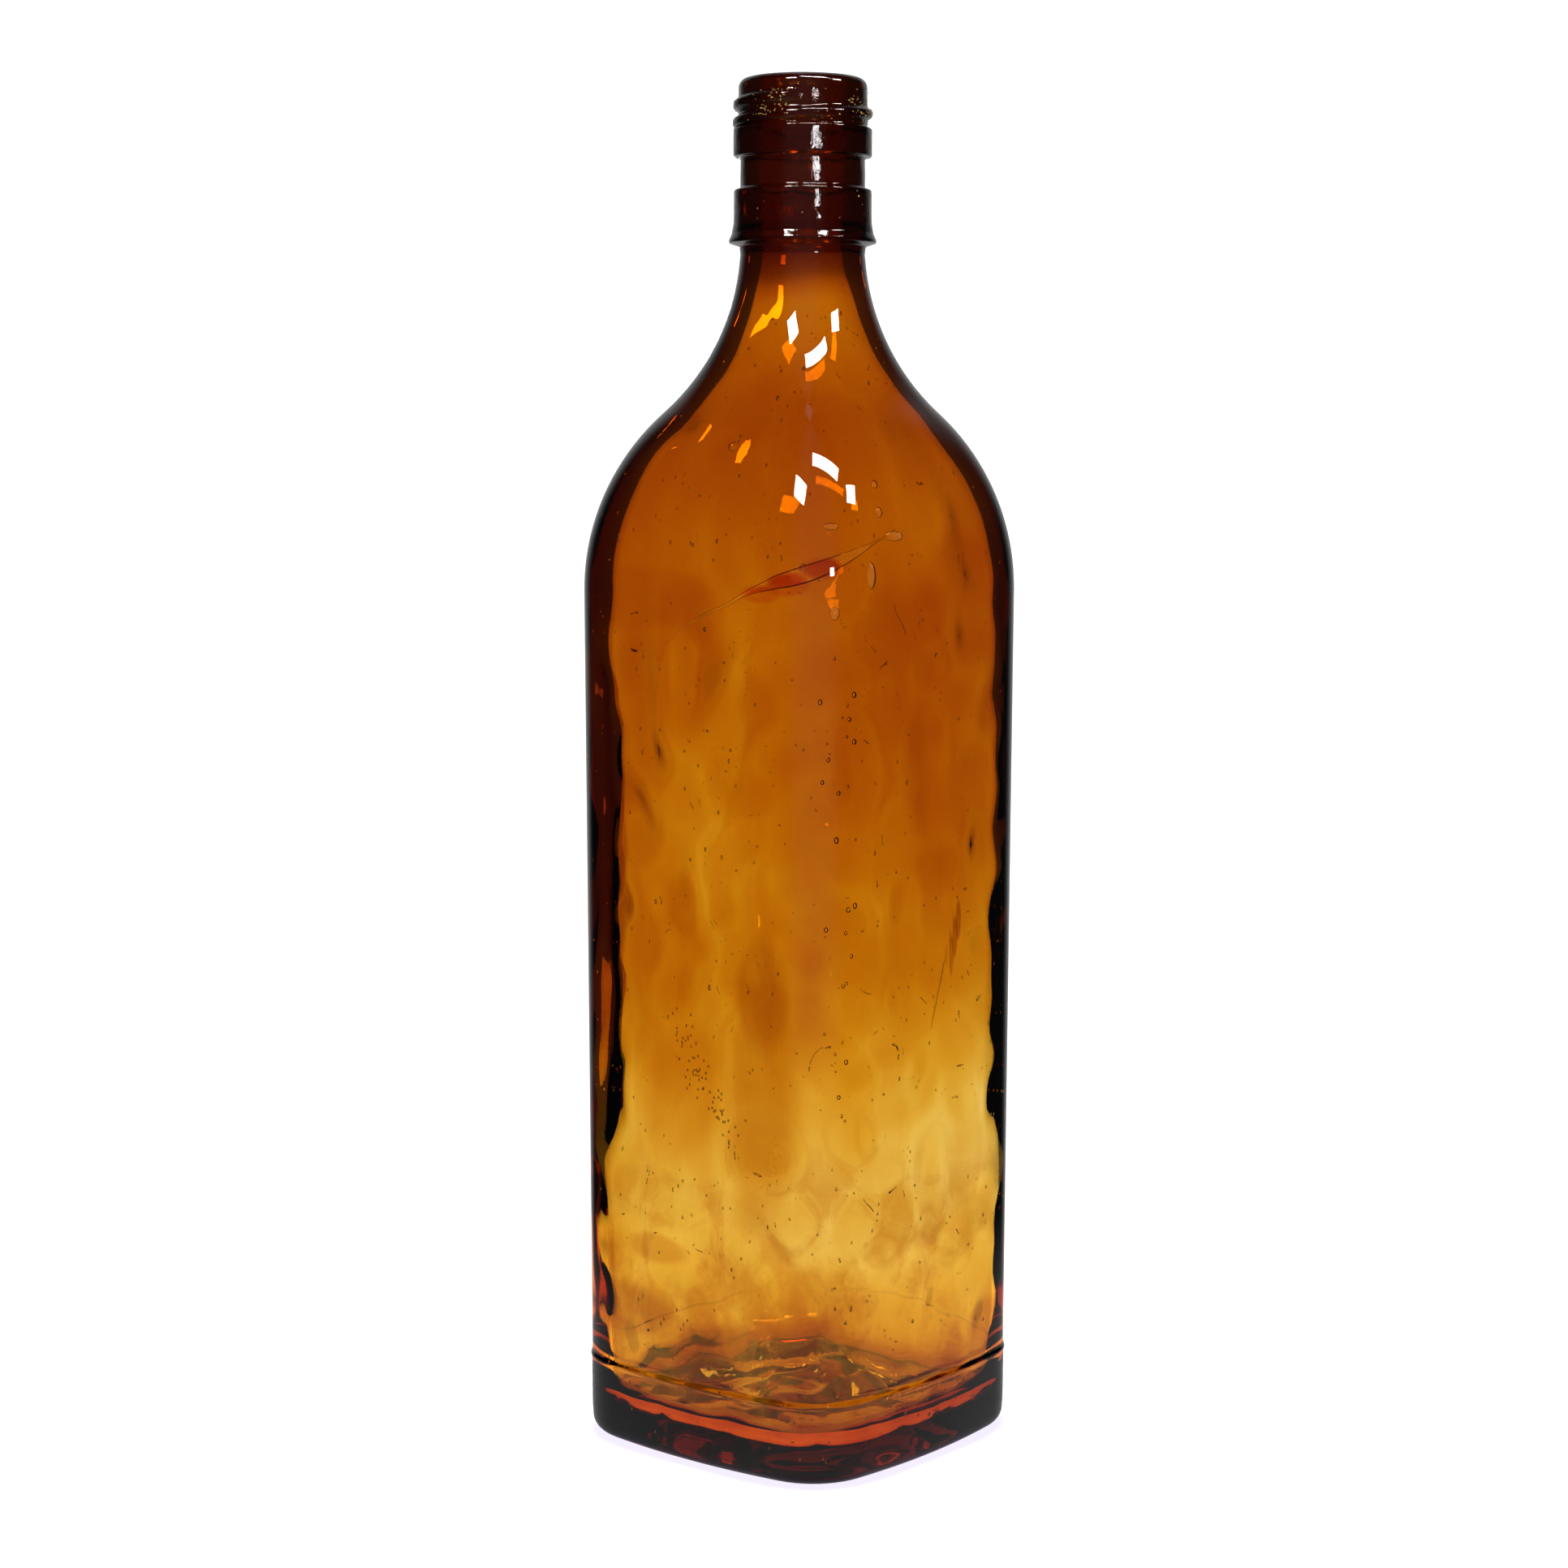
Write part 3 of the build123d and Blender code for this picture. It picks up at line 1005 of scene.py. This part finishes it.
def sweep_strength(nodes, links, direction, pool_of_light=None):
    """The sweep's light: full when seen plainly, dim but for soft ends when mirrored."""
    path = nodes.new("ShaderNodeLightPath")
    crossings = path.outputs["Transmission Depth"]
    plain = math_node(nodes, links, "GREATER_THAN", crossings, HOLLOW_CROSSINGS)
    plain = math_node(nodes, links, "MAXIMUM", plain, path.outputs["Is Camera Ray"])
    plain = math_node(nodes, links, "MAXIMUM", plain, path.outputs["Is Diffuse Ray"])
    outside = math_node(nodes, links, "LESS_THAN", crossings, MIRRORED_CROSSINGS)
    flat = vector_node(nodes, links, "MULTIPLY", direction, (1, 1, 0))
    unit = vector_node(nodes, links, "NORMALIZE", flat)
    along = vector_node(nodes, links, "DOT_PRODUCT", unit, -TO_CAMERA, "Value")
    back = ramp_node(nodes, links, along, 0.60, 0.99, 0.0, OUTLINE)
    front = ramp_node(nodes, links, along, -0.70, -1.0, 0.0, FRONT)
    ends = math_node(nodes, links, "MULTIPLY", math_node(nodes, links, "ADD", back, front), outside)
    room = nodes.new("ShaderNodeMapRange")
    room.inputs["To Min"].default_value = WITHIN
    room.inputs["To Max"].default_value = ROOM
    links.new(outside, room.inputs["Value"])
    dim = math_node(nodes, links, "ADD", ends, room.outputs["Result"])
    # painted pool of light round the base, where it is seen through the glass or mirrored
    if pool_of_light is not None:
        share = math_node(nodes, links, "SUBTRACT", 1.0, outside)
        share = math_node(nodes, links, "MAXIMUM", share, UNDER_MIRRORED)
        dim = math_node(nodes, links, "ADD", dim, math_node(nodes, links, "MULTIPLY", pool_of_light, share))
    mixed = nodes.new("ShaderNodeMix")
    mixed.data_type = "FLOAT"
    links.new(plain, mixed.inputs["Factor"])
    links.new(dim, mixed.inputs["A"])
    mixed.inputs["B"].default_value = SWEEP_SEEN
    return mixed.outputs["Result"]


def colour_with_painted_shadow(nodes, links, position):
    """White, but for a painted lilac shadow where the base meets the floor."""
    flat = vector_node(nodes, links, "MULTIPLY", position, (1, 1, 0))
    squares = vector_node(nodes, links, "MULTIPLY", flat, flat)
    # a distance that is the same all along a rounded square
    size = vector_node(nodes, links, "LENGTH", squares, result="Value")
    distance = math_node(nodes, links, "SQRT", size)
    fringe = nodes.new("ShaderNodeMix")
    fringe.data_type = "RGBA"
    # painted contact shadow: lilac just round the base's outline, fading to white
    links.new(ramp_node(nodes, links, distance, 0.036, 0.0395), fringe.inputs["Factor"])
    fringe.inputs["A"].default_value = PAINTED_SHADOW_LILAC
    fringe.inputs["B"].default_value = WHITE
    return fringe.outputs["Result"]


def sweep_material():
    """The glowing floor, with a painted pool of light and a painted lilac shadow round the base."""
    material, nodes, links = new_material("white_sweep")
    output = nodes.new("ShaderNodeOutputMaterial")
    emission = nodes.new("ShaderNodeEmission")
    position = nodes.new("ShaderNodeNewGeometry").outputs["Position"]
    distance = vector_node(nodes, links, "LENGTH", position, result="Value")
    # painted pool of light: the floor glows brighter close to the bottle
    pool_of_light = ramp_node(nodes, links, distance, 0.24, 0.07, 0.0, POOL_OF_LIGHT)
    links.new(sweep_strength(nodes, links, position, pool_of_light), emission.inputs["Strength"])
    links.new(colour_with_painted_shadow(nodes, links, position), emission.inputs["Color"])
    links.new(emission.outputs["Emission"], output.inputs["Surface"])
    return material


def floor_plane():
    """A wide floor, just clear of the bottle's foot."""
    signs = [(-1, -1), (1, -1), (1, 1), (-1, 1)]
    mesh = bpy.data.meshes.new("floor")
    corners = [(FLOOR_HALF * x, FLOOR_HALF * y, -FLOOR_DROP) for x, y in signs]
    mesh.from_pydata(corners, [], [(0, 1, 2, 3)])
    mesh.materials.append(sweep_material())
    floor = bpy.data.objects.new("floor", mesh)
    bpy.context.scene.collection.objects.link(floor)


def world_light():
    """The same sweep, in every direction above the floor."""
    world = bpy.data.worlds.new("studio")
    bpy.context.scene.world = world
    world.use_nodes = True
    nodes, links = world.node_tree.nodes, world.node_tree.links
    nodes.clear()
    output = nodes.new("ShaderNodeOutputWorld")
    background = nodes.new("ShaderNodeBackground")
    background.inputs["Color"].default_value = WHITE
    direction = nodes.new("ShaderNodeTexCoord").outputs["Generated"]
    links.new(sweep_strength(nodes, links, direction), background.inputs["Strength"])
    links.new(background.outputs["Background"], output.inputs["Surface"])


def area_lamp(name, place, toward, size, radiance, spin=0.0):
    """A rectangular lamp that faces along toward and that the camera itself doesn't see."""
    width, height = size
    data = bpy.data.lights.new(name, "AREA")
    data.shape = "RECTANGLE"
    data.size = width
    data.size_y = height
    data.energy = radiance * math.pi * width * height
    lamp = bpy.data.objects.new(name, data)
    bpy.context.scene.collection.objects.link(lamp)
    lamp.location = place
    lamp.rotation_euler = toward.to_track_quat("-Z", "Y").to_euler()
    lamp.rotation_euler.rotate_axis("Z", math.radians(spin))
    lamp.visible_camera = False


def soft_light(name, azimuth, elevation, size, radiance, spin=0.0):
    """A softbox that the outside of the glass mirrors, aimed at the shoulder."""
    a, e = math.radians(azimuth), math.radians(elevation)
    outward = Vector((math.cos(e) * math.cos(a), math.cos(e) * math.sin(a), math.sin(e)))
    place = SHOULDER_CENTRE + outward * SOFTBOX_DISTANCE
    area_lamp(name, place, -outward, size, radiance, spin)


def back_strip():
    """A narrow lamp behind the bottle that shows as a yellow streak in the neck's glass."""
    place = -TO_CAMERA * 0.30 - TO_RIGHT * 0.047 + Vector((0, 0, 0.2487))
    area_lamp("back_strip", place, TO_CAMERA, (0.014, 0.024), 6.0)


def add_camera():
    """The camera, a little above the shoulder's height and tilted slightly down."""
    data = bpy.data.cameras.new("camera")
    data.lens = FOCAL_LENGTH
    data.sensor_width = SENSOR_WIDTH
    data.clip_start = 0.01
    camera = bpy.data.objects.new("camera", data)
    bpy.context.scene.collection.objects.link(camera)
    place = TO_CAMERA * CAMERA_DISTANCE + TO_RIGHT * CAMERA_SIDE
    camera.location = place + Vector((0, 0, CAMERA_HEIGHT))
    camera.rotation_mode = "XYZ"
    camera.rotation_euler = (math.pi / 2 - CAMERA_TILT, 0, CAMERA_AZIMUTH)
    camera.rotation_euler.rotate_axis("Z", CAMERA_ROLL)
    bpy.context.scene.camera = camera


floor_plane()
world_light()
soft_light("left_window", -75, 46, (0.24, 0.20), 45, -10)
soft_light("right_window", 15, 36, (0.22, 0.14), 45, -25)
soft_light("top_bar", -20, 60, (0.52, 0.13), 40, -33)
soft_light("low_window", -26, 8, (0.11, 0.07), 26)
back_strip()
add_camera()

scene = bpy.context.scene
scene.view_settings.view_transform = "Standard"
scene.cycles.max_bounces = 24
scene.cycles.transmission_bounces = 24
scene.cycles.glossy_bounces = 16
scene.cycles.use_denoising = True
